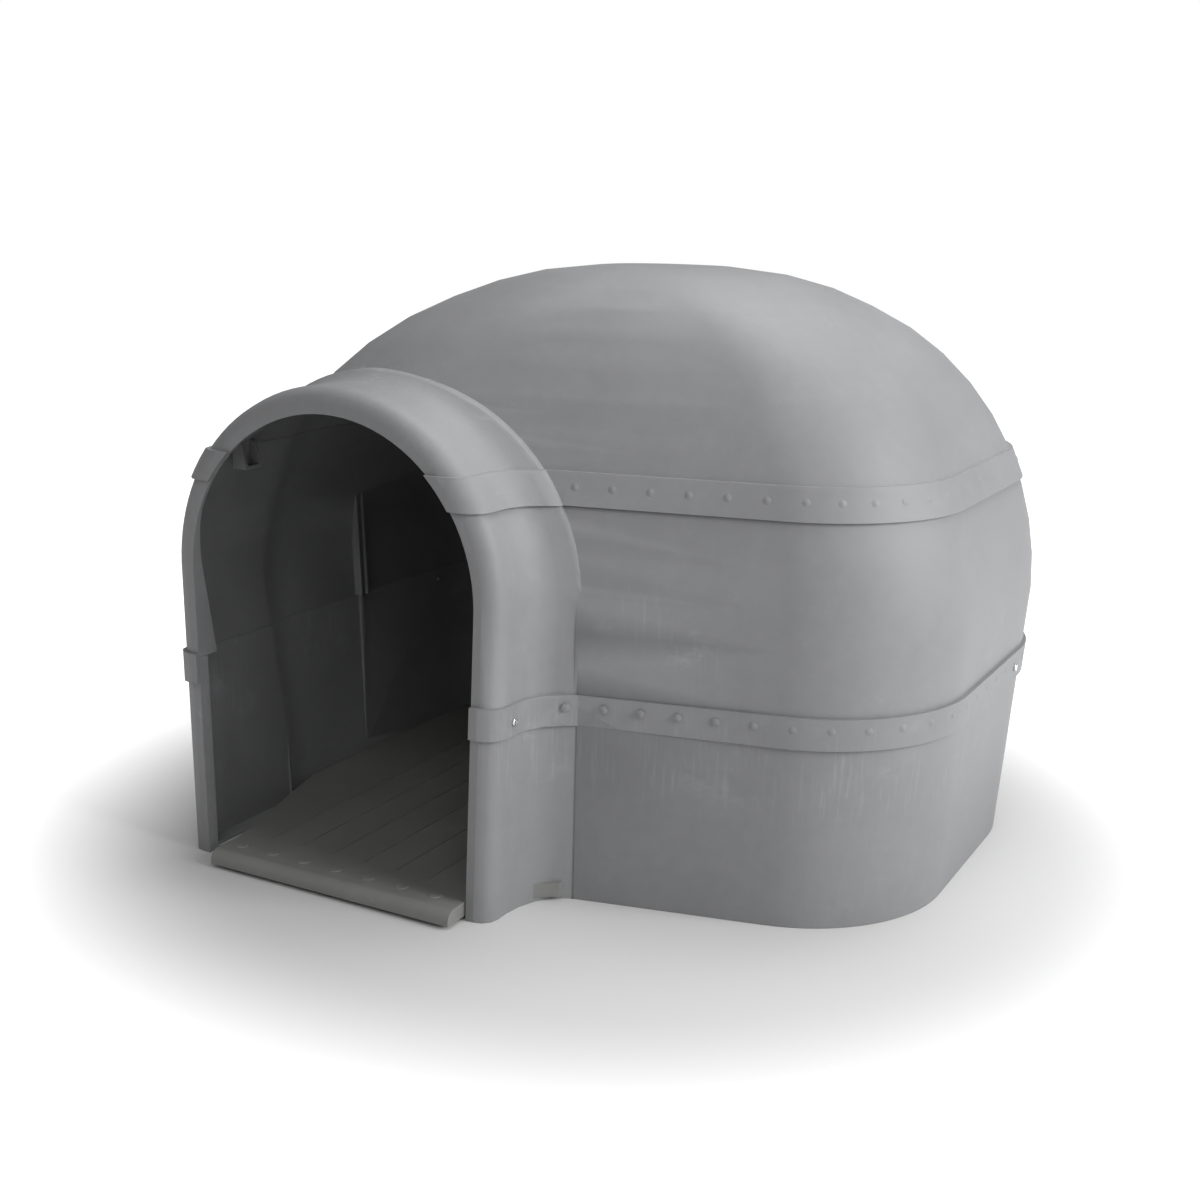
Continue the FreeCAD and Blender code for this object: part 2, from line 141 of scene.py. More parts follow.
class DogHouseStageSettings(bpy.types.PropertyGroup):
    """Floor, light and camera."""
    azimuth: FloatProperty(name="Azimuth", description="Camera's turn round the house",
                           default=math.radians(28.0287), subtype="ANGLE")
    elevation: FloatProperty(name="Elevation", description="Camera's height angle",
                             default=math.radians(13.8255), subtype="ANGLE")
    roll: FloatProperty(name="Roll", description="Camera's tilt about its own axis",
                        default=math.radians(1.3611), subtype="ANGLE")
    distance: FloatProperty(name="Distance", description="Camera to the point it looks at",
                            default=2.40373, unit="LENGTH")
    lens: FloatProperty(name="Lens", description="Focal length on a 36 mm sensor", default=48.3114)
    show_floor: BoolProperty(name="Floor", description="Put a pale floor under the house",
                             default=True)


# ---- meshes worked out on grids --------------------------------------------------------

def mesh_from_grid(name, points, closed_u, closed_v, cap_start=False, cap_end=False):
    """Mesh from a grid of points (rows, columns, 3): one quad between each four neighbours.

    Columns may close on themselves (closed_u), and so may rows (closed_v).  A capped end
    is closed with one face over its row.
    """
    rows, columns = points.shape[:2]
    index = np.arange(rows * columns).reshape(rows, columns)
    if closed_u:
        index = np.concatenate([index, index[:, :1]], axis=1)
    if closed_v:
        index = np.concatenate([index, index[:1, :]], axis=0)
    quads = np.stack([index[:-1, :-1], index[:-1, 1:], index[1:, 1:], index[1:, :-1]], axis=-1)
    faces = quads.reshape(-1, 4).tolist()
    if cap_start:
        faces.append(list(range(columns))[::-1])
    if cap_end:
        faces.append(list(range((rows - 1) * columns, rows * columns)))
    mesh = bpy.data.meshes.new(name)
    mesh.from_pydata(points.reshape(-1, 3).tolist(), [], faces)
    mesh.update()
    return mesh


def joined_grids(name, grids):
    """One mesh from many equal grids (count, rows, columns, 3), each closed round and capped."""
    count, rows, columns = grids.shape[:3]
    index = np.arange(rows * columns).reshape(rows, columns)
    index = np.concatenate([index, index[:, :1]], axis=1)
    quads = np.stack([index[:-1, :-1], index[:-1, 1:], index[1:, 1:], index[1:, :-1]], axis=-1)
    quads = quads.reshape(-1, 4)
    steps = np.arange(count) * rows * columns
    faces = (quads[None, :, :] + steps[:, None, None]).reshape(-1, 4).tolist()
    first = (np.arange(columns)[::-1][None, :] + steps[:, None]).tolist()
    last = (np.arange((rows - 1) * columns, rows * columns)[None, :] + steps[:, None]).tolist()
    mesh = bpy.data.meshes.new(name)
    mesh.from_pydata(grids.reshape(-1, 3).tolist(), [], faces + first + last)
    mesh.update()
    return mesh


def new_piece(name, mesh, body, material):
    """Links a piece into the scene, gives it its finish and lets it ride on its body."""
    piece = bpy.data.objects.new(name, mesh)
    bpy.context.scene.collection.objects.link(piece)
    mesh.materials.clear()
    mesh.materials.append(material)
    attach(piece, body)
    return piece


def smooth_faces(mesh, angle):
    """Shades every face smoothly, apart from edges sharper than angle."""
    mesh.polygons.foreach_set("use_smooth", np.ones(len(mesh.polygons), dtype=bool))
    mesh.set_sharp_from_angle(angle=angle)


def lean_neck(points):
    """Leans the porch's neck back below the waist, towards the leaning front wall.

    A point of the neck's hollow, below the waist, moves back by
    NECK_LEAN * (WAIST - z) / WAIST, times a smooth step of its way along the hollow.
    The crease between neck and wall still shows, and near the ground the moved wall
    passes behind the floor panel's edge.
    """
    x, y, z = points.T
    low = np.clip((WAIST - z) / WAIST, 0.0, 1.0)
    way = np.clip((y - NECK_START_Y) / (NECK_END_Y - NECK_START_Y), 0.0, 1.0)
    side = NECK_SIDE_X - NECK_DRAW_IN * low
    hollow = (y < NECK_END_Y + 0.0003) & (x > side - 0.012) & (x < side + 0.062)
    share = way * way * (3.0 - 2.0 * way)
    moved = points.copy()
    moved[:, 1] += np.where(hollow, NECK_LEAN * low * share, 0.0)
    return moved


def merged_copy(node, name, angle, change=None):
    """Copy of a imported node's triangles, joined where they meet and shaded smoothly."""
    shape = bmesh.new()
    shape.from_mesh(node.data)
    bmesh.ops.remove_doubles(shape, verts=shape.verts, dist=2e-5)
    if change is not None:
        points = change(np.array([vertex.co for vertex in shape.verts]))
        for vertex, place in zip(shape.verts, points):
            vertex.co = place
        bmesh.ops.remove_doubles(shape, verts=shape.verts, dist=2e-5)
    bmesh.ops.dissolve_limit(shape, angle_limit=math.radians(0.3), verts=shape.verts,
                             edges=shape.edges, delimit={"NORMAL"})
    mesh = bpy.data.meshes.new(name)
    shape.to_mesh(mesh)
    shape.free()
    mesh.validate()
    smooth_faces(mesh, angle)
    return mesh


def round_edges(piece, width):
    """Rounds every crisp edge of a piece with a small bevel."""
    if width <= 0.0:
        return
    bevel = piece.modifiers.new("edge rounding", "BEVEL")
    bevel.width = width
    bevel.segments = 2
    bevel.limit_method = "ANGLE"
    bevel.angle_limit = math.radians(42.0)
    bevel.harden_normals = True


# ---- plan of the walls -----------------------------------------------------------------

def rounded_plan(corners, radii, per_arc=24):
    """Closed outline of a four-sided plan with round corners, as (n, 2) points.

    At each corner the circle touches both sides: its tangent points lie radius / tan(half
    the corner's angle) from the corner, and the arc is swept between them.
    """
    pieces = []
    count = len(corners)
    for i in range(count):
        here = corners[i]
        to_before = corners[i - 1] - here
        to_after = corners[(i + 1) % count] - here
        to_before = to_before / np.linalg.norm(to_before)
        to_after = to_after / np.linalg.norm(to_after)
        half = math.acos(float(np.clip(to_before @ to_after, -1.0, 1.0))) / 2.0
        middle_way = to_before + to_after
        middle_way = middle_way / np.linalg.norm(middle_way)
        centre = here + middle_way * radii[i] / math.sin(half)
        reach = radii[i] / math.tan(half)
        start = here + to_before * reach - centre
        turn = math.pi - 2.0 * half
        angles = np.linspace(0.0, turn, per_arc)
        cos, sin = np.cos(angles), np.sin(angles)
        x = cos * start[0] - sin * start[1]
        y = sin * start[0] + cos * start[1]
        pieces.append(np.stack([x, y], axis=1) + centre)
    return np.concatenate(pieces)


def stations_round(outline, pitch):
    """Evenly spaced points on a closed outline and the outward normal at each."""
    loop = np.concatenate([outline, outline[:1]])
    sides = np.diff(loop, axis=0)
    lengths = np.linalg.norm(sides, axis=1)
    along = np.concatenate([[0.0], np.cumsum(lengths)])
    count = int(along[-1] / pitch)
    wanted = (np.arange(count) + 0.5) * along[-1] / count
    points = np.stack([np.interp(wanted, along, loop[:, k]) for k in (0, 1)], axis=1)
    which = np.clip(np.searchsorted(along, wanted) - 1, 0, len(sides) - 1)
    ways = sides[which] / lengths[which][:, None]
    return points, np.stack([ways[:, 1], -ways[:, 0]], axis=1)


def seats_on(node, points, normals, level):
    """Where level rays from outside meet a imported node, with the surface normal there."""
    data = node.data
    tree = BVHTree.FromPolygons([v.co for v in data.vertices],
                                [tuple(p.vertices) for p in data.polygons])
    seats = []
    for point, normal in zip(points, normals):
        out = Vector((normal[0], normal[1], 0.0))
        start = Vector((point[0], point[1], level)) + out * 0.15
        hit, face_normal, _, _ = tree.ray_cast(start, -out)
        if hit is not None:
            if face_normal.dot(out) < 0.0:
                face_normal = -face_normal
            seats.append((np.array(hit), np.array(face_normal)))
    return seats


def frames_on(normals):
    """Two unit vectors square to each normal, as (n, 3) arrays."""
    up = np.array([0.0, 0.0, 1.0])
    first = np.cross(up, normals)
    first /= np.linalg.norm(first, axis=1)[:, None]
    return first, np.cross(normals, first)


# ---- materials ---------------------------------------------------------------------------

def node_at(tree, kind, x, y, **values):
    """New shader node at a place in the editor, with the given attributes."""
    node = tree.nodes.new(kind)
    node.location = (x, y)
    for key, value in values.items():
        setattr(node, key, value)
    return node


def math_node(tree, operation, first, second, x, y, clamp=False):
    """Math node whose inputs are sockets or numbers."""
    node = node_at(tree, "ShaderNodeMath", x, y, operation=operation, use_clamp=clamp)
    for slot, value in enumerate((first, second)):
        if value is None:
            continue
        if isinstance(value, (int, float)):
            node.inputs[slot].default_value = value
        else:
            tree.links.new(value, node.inputs[slot])
    return node.outputs[0]


def ramp_between(tree, value, low, high, x, y):
    """Smooth step of value from 0 at low to 1 at high."""
    node = node_at(tree, "ShaderNodeMapRange", x, y, interpolation_type="SMOOTHSTEP")
    tree.links.new(value, node.inputs["Value"])
    node.inputs["From Min"].default_value = low
    node.inputs["From Max"].default_value = high
    return node.outputs["Result"]


def noise_at(tree, coordinate, stretch, scale, detail, x, y, roughness=0.5):
    """Noise on object coordinates stretched by three factors."""
    mapping = node_at(tree, "ShaderNodeMapping", x - 180, y)
    mapping.inputs["Scale"].default_value = stretch
    tree.links.new(coordinate, mapping.inputs["Vector"])
    noise = node_at(tree, "ShaderNodeTexNoise", x, y)
    noise.inputs["Scale"].default_value = scale
    noise.inputs["Detail"].default_value = detail
    noise.inputs["Roughness"].default_value = roughness
    tree.links.new(mapping.outputs["Vector"], noise.inputs["Vector"])
    return noise.outputs["Fac"]


def start_group(name, inputs, outputs):
    """Empty node group with named float sockets."""
    group = bpy.data.node_groups.new(name, "ShaderNodeTree")
    for socket, default in inputs:
        item = group.interface.new_socket(socket, in_out="INPUT", socket_type="NodeSocketFloat")
        item.default_value = default
    for socket in outputs:
        group.interface.new_socket(socket, in_out="OUTPUT", socket_type="NodeSocketFloat")
    start = node_at(group, "NodeGroupInput", -900, 0)
    end = node_at(group, "NodeGroupOutput", 900, 0)
    return group, start, end


def grain_group():
    """Leathery mould grain: fine noise for the height and slow noise for the mottle."""
    group, start, end = start_group("Mould Grain", [("Scale", 1.0)], ["Height", "Mottle"])
    place = node_at(group, "ShaderNodeTexCoord", -900, 300).outputs["Object"]
    scaled = node_at(group, "ShaderNodeVectorMath", -700, 250, operation="SCALE")
    group.links.new(place, scaled.inputs[0])
    group.links.new(start.outputs["Scale"], scaled.inputs["Scale"])
    fine = noise_at(group, scaled.outputs[0], (1.0, 1.0, 1.0), 620.0, 3.0, -300, 300, 0.6)
    medium = noise_at(group, scaled.outputs[0], (1.0, 1.0, 1.0), 55.0, 4.0, -300, 60, 0.55)
    slow = noise_at(group, scaled.outputs[0], (1.0, 1.0, 1.0), 7.0, 4.0, -300, -180, 0.55)
    height = math_node(group, "MULTIPLY_ADD", medium, 0.8, 0, 200)
    group.links.new(fine, height.node.inputs[2])
    both = math_node(group, "MULTIPLY_ADD", slow, 0.7, 0, -100)
    part = math_node(group, "MULTIPLY", medium, 0.3, -100, -250)
    group.links.new(part, both.node.inputs[2])
    group.links.new(height, end.inputs["Height"])
    group.links.new(both, end.inputs["Mottle"])
    return group


def wear_group():
    """Dry dust and handling marks.

    Streaks are noise drawn out upright; smears are noise drawn out level; scratches are the
    thin middle band of a warped noise.  Each is kept where its own slow noise is high.
    """
    group, start, end = start_group(
        "Dust And Scuffs", [("Streaks", 1.0), ("Smears", 1.0), ("Scratches", 1.0)],
        ["Dust", "Scratch"])
    place = node_at(group, "ShaderNodeTexCoord", -1100, 300).outputs["Object"]
    upright = noise_at(group, place, (70.0, 70.0, 2.4), 3.4, 4.0, -600, 500, 0.62)
    level = noise_at(group, place, (5.0, 5.0, 9.0), 2.6, 6.0, -600, 260, 0.68)
    patches = noise_at(group, place, (1.0, 1.0, 1.0), 3.1, 3.0, -600, 20, 0.5)
    hair = noise_at(group, place, (9.0, 9.0, 30.0), 4.2, 2.0, -600, -220, 0.5)
    streak = math_node(group, "MULTIPLY", ramp_between(group, upright, 0.50, 0.72, -350, 500),
                       ramp_between(group, patches, 0.46, 0.62, -350, 380), -100, 500)
    smear = math_node(group, "MULTIPLY", ramp_between(group, level, 0.55, 0.74, -350, 260),
                      ramp_between(group, patches, 0.38, 0.60, -350, 140), -100, 260)
    away = math_node(group, "ABSOLUTE", math_node(group, "SUBTRACT", hair, 0.5, -350, -220), None,
                     -200, -220)
    line = math_node(group, "SUBTRACT", 1.0, ramp_between(group, away, 0.0, 0.006, -50, -220),
                     120, -220)
    line = math_node(group, "MULTIPLY", line, ramp_between(group, level, 0.55, 0.66, -50, -380),
                     280, -220)
    streak = math_node(group, "MULTIPLY", streak, 1.0, 200, 500)
    group.links.new(start.outputs["Streaks"], streak.node.inputs[1])
    smear = math_node(group, "MULTIPLY", smear, 1.0, 200, 260)
    group.links.new(start.outputs["Smears"], smear.node.inputs[1])
    line = math_node(group, "MULTIPLY", line, 1.0, 440, -220)
    group.links.new(start.outputs["Scratches"], line.node.inputs[1])
    dust = math_node(group, "ADD", streak, smear, 440, 380, clamp=True)
    group.links.new(dust, end.inputs["Dust"])
    group.links.new(line, end.inputs["Scratch"])
    return group


def place_group(tree, group, x, y, **values):
    """A node group placed in a material with its own values."""
    node = node_at(tree, "ShaderNodeGroup", x, y)
    node.node_tree = group
    for key, value in values.items():
        node.inputs[key].default_value = value
    return node


def mixed_colour(tree, factor, first, second, x, y):
    """Mix of two colours, each a socket or three numbers."""
    node = node_at(tree, "ShaderNodeMix", x, y, data_type="RGBA")
    tree.links.new(factor, node.inputs["Factor"])
    for slot, value in ((6, first), (7, second)):
        if isinstance(value, bpy.types.NodeSocket):
            tree.links.new(value, node.inputs[slot])
        else:
            node.inputs[slot].default_value = (*value, 1.0)
    return node.outputs[2]


def height_band(tree, low, high, soft, x, y):
    """Mask of 1 between two heights of the object, fading over soft."""
    place = node_at(tree, "ShaderNodeTexCoord", x - 400, y).outputs["Object"]
    split = node_at(tree, "ShaderNodeSeparateXYZ", x - 220, y)
    tree.links.new(place, split.inputs[0])
    rise = ramp_between(tree, split.outputs["Z"], low - soft, low, x, y)
    fall = ramp_between(tree, split.outputs["Z"], high, high + soft, x, y - 240)
    fall = math_node(tree, "SUBTRACT", 1.0, fall, x + 180, y - 240)
    return math_node(tree, "MULTIPLY", rise, fall, x + 340, y)


def soft_spot(tree, centre, size, x, y):
    """Mask that falls from 1 at a centre to 0 one size away, with a size for each axis."""
    place = node_at(tree, "ShaderNodeTexCoord", x - 400, y).outputs["Object"]
    mapping = node_at(tree, "ShaderNodeMapping", x - 220, y, vector_type="TEXTURE")
    mapping.inputs["Location"].default_value = centre
    mapping.inputs["Scale"].default_value = size
    tree.links.new(place, mapping.inputs["Vector"])
    length = node_at(tree, "ShaderNodeVectorMath", x, y, operation="LENGTH")
    tree.links.new(mapping.outputs["Vector"], length.inputs[0])
    near = ramp_between(tree, length.outputs["Value"], 0.25, 1.0, x + 160, y)
    return math_node(tree, "SUBTRACT", 1.0, near, x + 320, y)


def plastic_material(name, colour, dust_colour, grain, wear, amounts, spots, bands, rough):
    """Matte moulded plastic: mottled colour, dust in its own places, fine mould grain.

    amounts are the streaks, smears and scratches, and how much dust lies everywhere.  Each
    spot is a centre, a size and a strength.  Each band is its low and high edge, how far it
    fades, and a strength.
    """
    material = bpy.data.materials.new(name)
    material.use_nodes = True
    tree = material.node_tree
    tree.nodes.clear()
    out = node_at(tree, "ShaderNodeOutputMaterial", 1400, 0)
    shader = node_at(tree, "ShaderNodeBsdfPrincipled", 1100, 0)
    shader.inputs["Specular IOR Level"].default_value = 0.42
    tree.links.new(shader.outputs[0], out.inputs["Surface"])
    grains = place_group(tree, grain, -700, 300, Scale=1.0)
    marks = place_group(tree, wear, -700, 0, Streaks=amounts[0], Smears=amounts[1],
                        Scratches=amounts[2])
    darker = tuple(c * 0.955 for c in colour)
    lighter = tuple(min(1.0, c * 1.04) for c in colour)
    base = mixed_colour(tree, ramp_between(tree, grains.outputs["Mottle"], 0.36, 0.66, -500, 300),
                        darker, lighter, -250, 300)
    mask = math_node(tree, "MULTIPLY", marks.outputs["Dust"], amounts[3], -450, 0)
    row = -300
    for centre, size, strength in spots:
        spot = soft_spot(tree, centre, size, -700, row)
        spot = math_node(tree, "MULTIPLY", spot, strength, -200, row)
        noisy = math_node(tree, "MULTIPLY", spot, marks.outputs["Dust"], -40, row)
        mask = math_node(tree, "ADD", mask, noisy, 120, row, clamp=True)
        row -= 400
    for low, high, soft, strength in bands:
        band = height_band(tree, low, high, soft, -700, row)
        band = math_node(tree, "MULTIPLY", band, strength, -200, row)
        noisy = math_node(tree, "MULTIPLY", band, marks.outputs["Dust"], -40, row)
        mask = math_node(tree, "ADD", mask, noisy, 120, row, clamp=True)
        row -= 400
    dusty = mixed_colour(tree, mask, base, dust_colour, 400, 300)
    scratched = mixed_colour(tree, math_node(tree, "MULTIPLY", marks.outputs["Scratch"], 0.5,
                                             400, 40), dusty, dust_colour, 650, 300)
    tree.links.new(scratched, shader.inputs["Base Color"])
    uneven = math_node(tree, "MULTIPLY_ADD", grains.outputs["Mottle"], 0.16, 650, -160)
    uneven.node.inputs[2].default_value = rough - 0.08
    polish = math_node(tree, "MULTIPLY_ADD", mask, 0.16, 800, 0, clamp=True)
    tree.links.new(uneven, polish.node.inputs[2])
    tree.links.new(polish, shader.inputs["Roughness"])
    bump = node_at(tree, "ShaderNodeBump", 850, -300)
    bump.inputs["Strength"].default_value = 0.28
    bump.inputs["Distance"].default_value = 0.0006
    tree.links.new(grains.outputs["Height"], bump.inputs["Height"])
    tree.links.new(bump.outputs["Normal"], shader.inputs["Normal"])
    return material


def steel_material(name, colour, grain):
    """Bright zinc plate: a metal with a fine cloudy roughness."""
    material = bpy.data.materials.new(name)
    material.use_nodes = True
    tree = material.node_tree
    tree.nodes.clear()
    out = node_at(tree, "ShaderNodeOutputMaterial", 900, 0)
    shader = node_at(tree, "ShaderNodeBsdfPrincipled", 600, 0)
    shader.inputs["Metallic"].default_value = 1.0
    tree.links.new(shader.outputs[0], out.inputs["Surface"])
    grains = place_group(tree, grain, -300, 0, Scale=3.0)
    tint = mixed_colour(tree, grains.outputs["Mottle"], tuple(c * 0.86 for c in colour), colour,
                        0, 100)
    tree.links.new(tint, shader.inputs["Base Color"])
    rough = ramp_between(tree, grains.outputs["Mottle"], 0.2, 0.9, 0, -150)
    rough.node.inputs["To Min"].default_value = 0.18
    rough.node.inputs["To Max"].default_value = 0.36
    tree.links.new(rough, shader.inputs["Roughness"])
    return material


def shared_material(key):
    """The finish with this name, made the first time that it is asked for."""
    if key in bpy.data.materials:
        return bpy.data.materials[key]
    scene = bpy.context.scene
    grain = bpy.data.node_groups.get("Mould Grain") or grain_group()
    wear = bpy.data.node_groups.get("Dust And Scuffs") or wear_group()
    shell = scene.dog_house_shell
    if key == "Shell Plastic":
        spots = [((0.22, -0.30, 0.42), (0.17, 0.20, 0.10), 0.34),
                 ((0.53, 0.05, 0.45), (0.12, 0.40, 0.22), 0.20),
                 ((-0.32, -0.36, 0.70), (0.20, 0.20, 0.10), 0.26)]
        bands = [(0.20, 0.257, 0.06, 0.16)]
        return plastic_material(key, tuple(shell.plastic), tuple(shell.dust), grain, wear,
                                (1.0, 0.9, 0.5, 0.03), spots, bands, 0.54)
    if key == "Floor Plastic":
        floor = scene.dog_house_floor
        return plastic_material(key, tuple(floor.plastic), tuple(shell.dust), grain, wear,
                                (0.2, 1.0, 0.7, 0.14), [], [], 0.52)
    return steel_material(key, tuple(scene.dog_house_screw.steel), grain)


# ---- operators -------------------------------------------------------------------------------

class DOGHOUSE_OT_shells(bpy.types.Operator):
    """Show the three lapped shells with smooth surfaces, soft edges and their plastic"""
    bl_idname = "dog_house.shells"
    bl_label = "Shell Sections"

    def execute(self, context):
        settings = context.scene.dog_house_shell
        material = shared_material("Shell Plastic")
        for node, body in SHELLS:
            mesh = merged_copy(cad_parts[node], node + "_moulding", settings.smooth_angle,
                               lean_neck)
            piece = new_piece(node + "_moulding", mesh, body, material)
            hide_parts(node)
            round_edges(piece, settings.edge_round)
        return {"FINISHED"}


class DOGHOUSE_OT_snap_bumps(bpy.types.Operator):
    """Add the rows of low round snap bumps that run round both laps"""
    bl_idname = "dog_house.snap_bumps"
    bl_label = "Snap Bumps"

    def execute(self, context):
        settings = context.scene.dog_house_bump
        low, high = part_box("middle_ring")
        porch_right = low.x + PORCH_RIGHT
        front = DOOR_FACE_Y + PORCH_REACH
        left_y, right_y = (front + FRONT_SLANT * (x - porch_right + REACH_POINT)
                           for x in (low.x, high.x))
        corners = np.array([[low.x, left_y], [high.x, right_y],
                            [high.x, high.y], [low.x, high.y]])
        outline = rounded_plan(corners, [CORNER_RADIUS] * 4)
        points, normals = stations_round(outline, settings.pitch)
        outside_porch = ((points[:, 0] > porch_right)
                         | (points[:, 1] > DOOR_FACE_Y + BEHIND_PORCH))
        points, normals = points[outside_porch], normals[outside_porch]
        rows = (("snap_bumps_lower", "middle_ring", HOUSE, settings.lower_level),
                ("snap_bumps_upper", "roof_shell", ROOF, settings.upper_level))
        for name, node, body, level in rows:
            seats = seats_on(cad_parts[node], points, normals, level)
            if not seats:
                raise RuntimeError("no seat was found for " + name)
            mesh = self.bumps(name, seats, settings)
            smooth_faces(mesh, BUMP_SMOOTH)
            new_piece(name, mesh, body, shared_material("Shell Plastic"))
        return {"FINISHED"}

    @staticmethod
    def bumps(name, seats, settings):
        """Low round bumps.

        At a share s of its radius a bump stands height * (1 - s ** 2) ** 1.5 out, and its
        foot ring lies a little under the wall.
        """
        place = np.array([seat[0] for seat in seats])
        normal = np.array([seat[1] for seat in seats])
        across, upward = frames_on(normal)
        share = np.array([1.0, 1.0, 0.94, 0.82, 0.64, 0.42, 0.20])
        rise = settings.height * (1.0 - share ** 2) ** 1.5
        rise[0] = -0.0008
        turn = np.arange(20) * 2.0 * math.pi / 20
        ring_a = settings.radius * share[:, None] * np.cos(turn)[None, :]
        ring_b = settings.radius * share[:, None] * np.sin(turn)[None, :]
        grids = (place[:, None, None, :]
                 + ring_a[None, :, :, None] * across[:, None, None, :]
                 + ring_b[None, :, :, None] * upward[:, None, None, :]
                 + rise[None, :, None, None] * normal[:, None, None, :])
        return joined_grids(name, grids)


class DOGHOUSE_OT_lap_screws(bpy.types.Operator):
    """Replace each lap screw with a pan head that has a cross recess"""
    bl_idname = "dog_house.lap_screws"
    bl_label = "Lap Screws"

    def execute(self, context):
        settings = context.scene.dog_house_screw
        material = shared_material("Bright Zinc")
        for node in SCREWS:
            low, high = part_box(node)
            middle = (low + high) / 2.0
            axis = 0 if high.x - low.x > high.y - low.y else 1
            way = 1.0 if middle[axis] > (0.0 if axis else -0.25) else -1.0
            outward = np.zeros(3)
            outward[axis] = way
            tip = np.array(middle)
            tip[axis] = high[axis] if way > 0 else low[axis]
            length = high[axis] - low[axis]
            mesh = self.screw(node + "_detail", tip, outward, length, settings)
            smooth_faces(mesh, SMALL_SMOOTH)
            piece = new_piece(node + "_detail", mesh, HOUSE, material)
            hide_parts(node)
        for node in NUTS:
            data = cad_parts[node].data
            data.materials.clear()
            data.materials.append(material)
        return {"FINISHED"}

    @staticmethod
    def screw(name, tip, outward, length, settings):
        """Pan-head screw as one turned grid.

        Its profile runs from the middle of the crown over the head and down the shank.  The
        crown falls as the square of the radius, and the recess lowers it where either cross
        arm, a band of fixed width that narrows with depth, covers the point.
        """
        head, height, shank = settings.head_radius, settings.head_height, settings.shank_radius
        crown_share = np.linspace(0.04, 0.78, 26)
        radius = np.concatenate([crown_share * head, [head * 0.90, head * 0.975, head, head,
                                                      head * 0.97, shank, shank, shank,
                                                      shank * 0.6]])
        crown = -height * 0.16 * crown_share ** 2
        depth = np.concatenate([crown, [-height * 0.24, -height * 0.42, -height * 0.62,
                                        -height * 0.94, -height, -height, -length + 0.004,
                                        -length + 0.001, -length]])
        turn = np.arange(settings.segments) * 2.0 * math.pi / settings.segments
        across_axis, upward = frames_on(outward[None, :])
        a = radius[:, None] * np.cos(turn)[None, :]
        b = radius[:, None] * np.sin(turn)[None, :]
        arm = head * 0.13
        reach = head * 0.58
        fall = height * 0.62
        narrow = np.minimum(np.abs(a), np.abs(b))
        wide = np.maximum(np.abs(a), np.abs(b))
        inside = np.clip((arm - narrow) / (head * 0.05), 0.0, 1.0)
        inside = inside * np.clip((reach - wide) / (head * 0.16), 0.0, 1.0)
        on_crown = (np.arange(len(radius)) < len(crown_share))[:, None]
        along = depth[:, None] - np.where(on_crown, fall * inside, 0.0)
        points = (tip[None, None, :] + a[:, :, None] * across_axis[0]
                  + b[:, :, None] * upward[0] + along[:, :, None] * outward)
        mesh = mesh_from_grid(name, points, True, False, cap_start=True, cap_end=True)
        shape = bmesh.new()
        shape.from_mesh(mesh)
        bmesh.ops.recalc_face_normals(shape, faces=shape.faces)
        shape.to_mesh(mesh)
        shape.free()
        return mesh


class DOGHOUSE_OT_floor_panel(bpy.types.Operator):
    """Show the drop-in floor with soft edges and its own plastic"""
    bl_idname = "dog_house.floor_panel"
    bl_label = "Floor Panel"

    def execute(self, context):
        settings = context.scene.dog_house_floor
        mesh = merged_copy(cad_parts["floor_panel"], "floor_panel_moulding",
                           SMALL_SMOOTH)
        piece = new_piece("floor_panel_moulding", mesh, HOUSE,
                          shared_material("Floor Plastic"))
        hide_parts("floor_panel")
        round_edges(piece, settings.edge_round)
        return {"FINISHED"}


